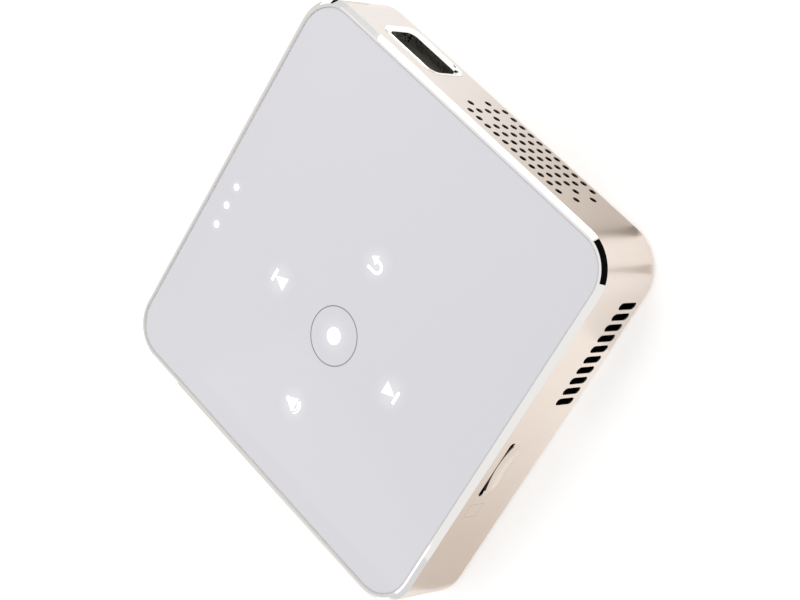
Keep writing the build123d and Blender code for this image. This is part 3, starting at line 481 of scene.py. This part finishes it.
def glass_bead():
    """A closed ring between the glass and the frame, just under the face of the glass."""
    inset = frame_high.x - glass_high.x
    inner = rounded_square(glass_high.x, CORNER_RADIUS - inset)
    outer = rounded_square(glass_high.x + GLASS_GAP, CORNER_RADIUS - inset + GLASS_GAP)
    bm = bmesh.new()
    raise_band(bm, inner, outer, GLASS_TOP - BEAD_FOOT, GLASS_TOP - BEAD_TOP, True)
    piece("glass_bead", bm, BEAD_GREY)


glass_bead()


# A plain card outline engraved beside the card slot, with one corner cut off

def on_wall(points):
    """Points across and up the -X wall, in millimetres, round the middle of the card outline."""
    return [(CARD_ICON[0] - across * MM, CARD_ICON[1] + up * MM) for across, up in points]


def wall_band(name, inner, outer, look):
    """A closed outline lying on the -X wall, sunk into it but for a trace."""
    bm = bmesh.new()
    raise_band(bm, on_wall(inner), on_wall(outer), -MARK_RISE, MARK_RISE, True)
    for vertex in bm.verts:
        across, up, out = vertex.co
        vertex.co = (frame_low.x - out + MARK_RISE - ICON_PROUD, across, up)
    piece(name, bm, look)


card_outline = [(-1.5, -2.0), (1.5, -2.0), (1.5, 2.0), (-0.6, 2.0), (-1.5, 1.1)]
wall_band("card_icon", [(x * 0.93, y * 0.95) for x, y in card_outline], card_outline, ENGRAVED)


# Contacts in the sockets, and the thread in the tripod bush

def raise_block(bm, low_corner, high_corner):
    """A box between two corners."""
    (x0, y0, z0), (x1, y1, z1) = low_corner, high_corner
    raise_outline(bm, [(x0, y0), (x1, y0), (x1, y1), (x0, y1)], z0, z1)


def contact_row(name, socket, count, pitch, width, back, length, face):
    """Plated strips on a socket's tongue: their pitch, width, setback, length and heights, in millimetres."""
    low_corner, high_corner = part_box(socket)
    middle = (low_corner.x + high_corner.x) / 2
    y1 = high_corner.y - back * MM
    y0 = y1 - length * MM
    z0, z1 = (low_corner.z + height * MM for height in face)
    bm = bmesh.new()
    for index in range(count):
        x = middle + (index - (count - 1) / 2) * pitch * MM
        raise_block(bm, (x - width * MM / 2, y0, z0), (x + width * MM / 2, y1, z1))
    piece(name, bm, GOLD)


contact_row("picture_contacts_upper", "hdmi_socket", 10, 0.95, 0.5, 1.6, 6.0, (3.83, 3.91))
contact_row("picture_contacts_lower", "hdmi_socket", 9, 0.95, 0.5, 1.6, 6.0, (2.49, 2.57))
contact_row("stick_contacts", "usb_socket", 4, 2.3, 1.1, 1.5, 7.0, (2.97, 3.07))
contact_row("charging_contacts", "power_socket", 5, 0.68, 0.34, 1.1, 3.0, (1.09, 1.17))


def turned(name, profile, centre, look, steps=48):
    """A ring turned about a Y axis through centre: its section lists radius and Y from there, in mm."""
    bm = bmesh.new()
    rings = []
    for index in range(steps):
        angle = 2 * math.pi * index / steps
        rings.append([bm.verts.new((centre.x + r * MM * math.cos(angle), centre.y + y * MM,
                                    centre.z + r * MM * math.sin(angle))) for r, y in profile])
    for here, there in zip(rings, rings[1:] + rings[:1]):
        for corner in range(len(profile)):
            after = (corner + 1) % len(profile)
            bm.faces.new((here[corner], here[after], there[after], there[corner]))
    piece(name, bm, look)


jack_low, jack_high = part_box("audio_jack")
jack_nose = Vector(((jack_low.x + jack_high.x) / 2, jack_high.y, (jack_low.z + jack_high.z) / 2))
turned("jack_collar", [(1.80, -0.02), (2.30, -0.02), (2.22, 0.09), (1.88, 0.09)], jack_nose,
       SLOTS["nickel"])
turned("jack_spring", [(1.62, -3.4), (1.79, -3.9), (1.79, -2.9)], jack_nose, GOLD)


def thread_ridge():
    """The ridge of the tripod thread: a triangle carried round the bore as it climbs."""
    low_corner, high_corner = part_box("tripod_insert")
    middle = (low_corner + high_corner) / 2
    pitch, turns, steps = 1.27 * MM, 3.6, 32
    root, crest, half_width = 3.02 * MM, 2.62 * MM, 0.42 * MM
    start = low_corner.z + 0.35 * MM
    bm = bmesh.new()
    rows = []
    for index in range(int(turns * steps) + 1):
        angle = 2 * math.pi * index / steps
        z = start + pitch * index / steps
        section = ((root, z - half_width), (crest, z), (root, z + half_width))
        rows.append([bm.verts.new((middle.x + r * math.cos(angle), middle.y + r * math.sin(angle), up))
                     for r, up in section])
    for before, after in zip(rows, rows[1:]):
        for corner in range(3):
            beside = (corner + 1) % 3
            bm.faces.new((before[corner], before[beside], after[beside], after[corner]))
    bm.faces.new(rows[0])
    bm.faces.new(rows[-1])
    piece("tripod_thread", bm, SLOTS["brass"])


thread_ridge()


# Floor, lights and camera. The polished edges mirror curved black strips, and the satin walls mirror cards.

# Brightness of the white world and of the floor's own light
WORLD, FLOOR_GLOW = 0.88, 0.30
# How high the cards and the narrow bands lie above the floor, and how far from the frame a band starts
CARD_RISE, BAND_RISE, BAND_START = 0.2 * MM, 0.4 * MM, 0.8 * MM
# The corner of the bezel's dished mouth that mirrors a card: its inset, its slope, and the card's spread
MOUTH_INSET, MOUTH_TILT, MOUTH_SPREAD = 1.5 * MM, 0.33, 0.13
# How far in from the outline the middle of a polished corner is taken, for the strips
CORNER_MIDDLE = 6.0 * MM
# Tints of the cards
NEUTRAL, COOL, EDGE_GREY = (1.0, 0.985, 0.97), (0.97, 1.0, 1.03), (0.97, 1.0, 1.0)
WARM, BROWN = (1.0, 0.93, 0.86), (1.0, 0.88, 0.76)


def sheet(corners):
    """A bmesh that holds one flat face."""
    bm = bmesh.new()
    bm.faces.new([bm.verts.new(corner) for corner in corners])
    return bm


def floor_paint():
    """Pale seamless paper, lit from behind, and clear when seen from below."""
    made, tree, shader = material("floor_paper")
    varied(tree, shader, (0.93, 0.93, 0.93), noise(tree, 3.0), 0.01)
    shader.inputs["Roughness"].default_value = 0.9
    shader.inputs["Emission Color"].default_value = rgba(1.0, 1.0, 1.0)
    shader.inputs["Emission Strength"].default_value = FLOOR_GLOW
    clear = node(tree, "ShaderNodeBsdfTransparent")
    below = node(tree, "ShaderNodeNewGeometry").outputs["Backfacing"]
    either = node(tree, "ShaderNodeMixShader", {0: below, 1: shader.outputs[0], 2: clear.outputs[0]})
    tree.links.new(either.outputs[0], tree.nodes["Material Output"].inputs["Surface"])
    return made


def area_light(name, place, aim, size, power):
    """A soft square light turned towards a point."""
    data = bpy.data.lights.new(name, "AREA")
    data.shape = "SQUARE"
    data.size = size
    data.energy = power
    made = bpy.data.objects.new(name, data)
    bpy.context.collection.objects.link(made)
    made.location = place
    made.rotation_euler = (Vector(aim) - Vector(place)).to_track_quat("-Z", "Y").to_euler()


def black_paper():
    """Matt black paper, for the strips that the polished edges mirror."""
    made, tree, shader = material("black_paper")
    varied(tree, shader, (0.004, 0.004, 0.004), noise(tree, 4.0), 0.2)
    shader.inputs["Roughness"].default_value = 0.95
    shader.inputs["Specular IOR Level"].default_value = 0.0
    return made


def edge_strip(name, side_x, side_y, start, end, reach, width, look, steps=12):
    """A curved black strip that the polished edge of one corner mirrors between two angles round it."""
    corner = Vector((side_x, side_y, 0)) * (frame_high.x - CORNER_MIDDLE)
    corner.z = FRAME_TOP
    seen_along = (corner - CAMERA_PLACE).normalized()
    bm = bmesh.new()
    rows = []
    for index in range(steps + 1):
        angle = math.radians(start + (end - start) * index / steps)
        normal = Vector((side_x * math.sin(angle), side_y * math.cos(angle), 1.0)).normalized()
        mirrored = seen_along.reflect(normal)
        round_corner = Vector((side_x * math.cos(angle), -side_y * math.sin(angle), 0))
        across = mirrored.cross(round_corner).normalized()
        middle = corner + mirrored * reach
        rows.append([bm.verts.new(middle + across * width / 2), bm.verts.new(middle - across * width / 2)])
    for before, after in zip(rows, rows[1:]):
        bm.faces.new((before[0], before[1], after[1], after[0]))
    object_of(name, bm, look)


def graded_paper(name, axis, start, end):
    """Paper that changes along X (0) or Y (1) between two ends, each a place, a brightness and a tint."""
    (place_0, level_0, tint_0), (place_1, level_1, tint_1) = start, end
    made, tree, shader = material(name)
    shader.inputs["Base Color"].default_value = rgba(0.01, 0.01, 0.01)
    shader.inputs["Roughness"].default_value = 0.95
    position = node(tree, "ShaderNodeNewGeometry").outputs["Position"]
    place = node(tree, "ShaderNodeSeparateXYZ", {0: position}).outputs[axis]
    along = ramp(tree, place, place_0, place_1, 0.0, 1.0)
    tree.links.new(mix_colours(tree, along, rgba(*tint_0), rgba(*tint_1)), shader.inputs["Emission Color"])
    level = ramp(tree, place, place_0, place_1, level_0, level_1)
    tree.links.new(level, shader.inputs["Emission Strength"])
    return made


def card(name, corners, look):
    """A flat card by the object that only shows in glossy surfaces, as a studio flag does."""
    made = object_of(name, sheet(corners), look)
    for kind in ("camera", "diffuse", "transmission", "shadow"):
        setattr(made, "visible_" + kind, False)


def low_card(name, corners, look):
    """A card that lies flat, a little above the floor."""
    card(name, [(x, y, CARD_RISE) for x, y in corners], look)


def band_card(name, angle, width, reach, look):
    """A narrow card under the near corner, where the wall at one angle round the corner mirrors it."""
    turn = math.radians(angle)
    normal = Vector((-math.sin(turn), -math.cos(turn), 0))
    middle = Vector((-1, -1, 0)) * (frame_high.x - CORNER_RADIUS)
    foot = middle + normal * CORNER_RADIUS
    mirrored = (foot - CAMERA_PLACE).normalized().reflect(normal)
    outward = Vector((mirrored.x, mirrored.y, 0)).normalized()
    side = Vector((-outward.y, outward.x, 0)) * width / 2
    lift = Vector((0, 0, BAND_RISE))
    start, end = foot + outward * BAND_START + lift, foot + outward * reach + lift
    card(name, [start - side, end - side, end + side, start + side], look)


def bezel_glint(look):
    """A small card, halfway down to the floor, that a lower corner of the bezel's dished mouth mirrors."""
    low_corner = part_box("lens_bezel")[0]
    foot = low_corner + Vector((MOUTH_INSET, 0, MOUTH_INSET))
    normal = Vector((MOUTH_TILT, -math.sqrt(1 - 2 * MOUTH_TILT**2), MOUTH_TILT))
    mirrored = (foot - CAMERA_PLACE).normalized().reflect(normal)
    reach = 0.5 * foot.z / -mirrored.z
    middle = foot + mirrored * reach
    across = mirrored.cross(Vector((0, 0, 1))).normalized() * reach * MOUTH_SPREAD
    along = mirrored.cross(across).normalized() * reach * MOUTH_SPREAD
    card("glint_0", [middle - across - along, middle + across - along, middle + across + along,
                     middle - across + along], look)


FLOOR_HALF = 3.0
floor_corners = [(x * FLOOR_HALF, y * FLOOR_HALF, 0) for x, y in ((-1, -1), (1, -1), (1, 1), (-1, 1))]
object_of("floor", sheet(floor_corners), floor_paint())
black = black_paper()
edge_strip("strip_near", -1, -1, 14, 72, 1.3, 0.30, black)
edge_strip("strip_far", 1, -1, 7, 60, 0.7, 0.14, black)
area_light("key", (0.65, -1.0, 0.52), (0, 0, 0), 1.0, 2.6)
area_light("back", (0.05, 0.24, 0.14), (0, 0.02, 0), 0.25, 0.07)
area_light("near", (0.13, -0.17, 0.08), (0.03, -0.045, 0.0), 0.05, 0.05)

# Cards on the floor before each wall: short ones on the sides that the photograph shows, long ones behind
half = frame_high.x
short, long = half + 18.0 * MM, half + 60.0 * MM
lens_side = graded_paper("lens_side_paper", 0, (-half, 0.64, WARM), (0.75 * half, 1.12, COOL))
low_card("lens_side_card", [(-0.83 * half, -half), (-0.68 * half, -short), (1.3 * half, -short),
                            (1.2 * half, -half)], lens_side)
vent_side = graded_paper("vent_side_paper", 1, (-0.5 * half, 1.12, NEUTRAL), (half, 0.72, WARM))
low_card("vent_side_card", [(-half, -0.5 * half), (-half, half), (-short, 0.5 * (half + short)),
                            (-short, -0.5 * half)], vent_side)
wheel_side = graded_paper("wheel_side_paper", 1, (-half, 0.68, WARM), (half, 0.98, NEUTRAL))
low_card("wheel_side_card", [(half, -half), (long, -half), (long, half), (half, half)], wheel_side)
socket_side = graded_paper("socket_side_paper", 0, (-half, 0.98, NEUTRAL), (half, 0.68, WARM))
low_card("socket_side_card", [(-half, half), (half, half), (half, long), (-half, long)], socket_side)

# Upright cards beyond the two far edges, which give those edges their grey line
FAR_GAP, FAR_SILL, FAR_CROWN = 6.0 * MM, 0.2 * MM, 17.0 * MM
edge_grey = graded_paper("edge_grey_paper", 0, (-half, 0.70, EDGE_GREY), (half, 0.72, EDGE_GREY))
beyond, along = half + FAR_GAP, 1.8 * half
sill, crown = FRAME_TOP + FAR_SILL, FRAME_TOP + FAR_CROWN
profile = [(-along, sill), (along, sill), (along, crown), (-along, crown)]
card("far_card_x", [(beyond, y, z) for y, z in profile], edge_grey)
card("far_card_y", [(x, beyond, z) for x, z in profile], edge_grey)

# The brown and the tan band down the near corner, and the glint in the bezel
BAND_REACH = 16.0 * MM
bezel_glint(black)
brown = graded_paper("brown_paper", 0, (-2 * half, 0.30, BROWN), (0, 0.34, BROWN))
band_card("band_1", 5, 2.6 * MM, BAND_REACH, brown)
tan = graded_paper("tan_paper", 0, (-2 * half, 0.62, WARM), (0, 0.66, WARM))
band_card("band_2", 54, 2.2 * MM, BAND_REACH, tan)

world = bpy.data.worlds.new("studio")
world.use_nodes = True
world.node_tree.nodes["Background"].inputs[0].default_value = rgba(1.0, 1.0, 1.0)
world.node_tree.nodes["Background"].inputs[1].default_value = WORLD
bpy.context.scene.world = world
bpy.context.scene.view_settings.view_transform = "Standard"

camera_data = bpy.data.cameras.new("camera")
camera_data.sensor_width = SENSOR_WIDTH
camera_data.lens = FOCAL_PIXELS * SENSOR_WIDTH / IMAGE_WIDTH
camera_data.clip_start = 0.01
camera = bpy.data.objects.new("camera", camera_data)
bpy.context.collection.objects.link(camera)
forward = (CAMERA_AIM - CAMERA_PLACE).normalized()
level_right = forward.cross(Vector((0, 0, 1))).normalized()
level_up = level_right.cross(forward)
up = level_up * math.cos(CAMERA_ROLL) + level_right * math.sin(CAMERA_ROLL)
right = forward.cross(up)
turn = Matrix((right, up, -forward)).transposed().to_4x4()
camera.matrix_world = Matrix.Translation(CAMERA_PLACE) @ turn
bpy.context.scene.camera = camera
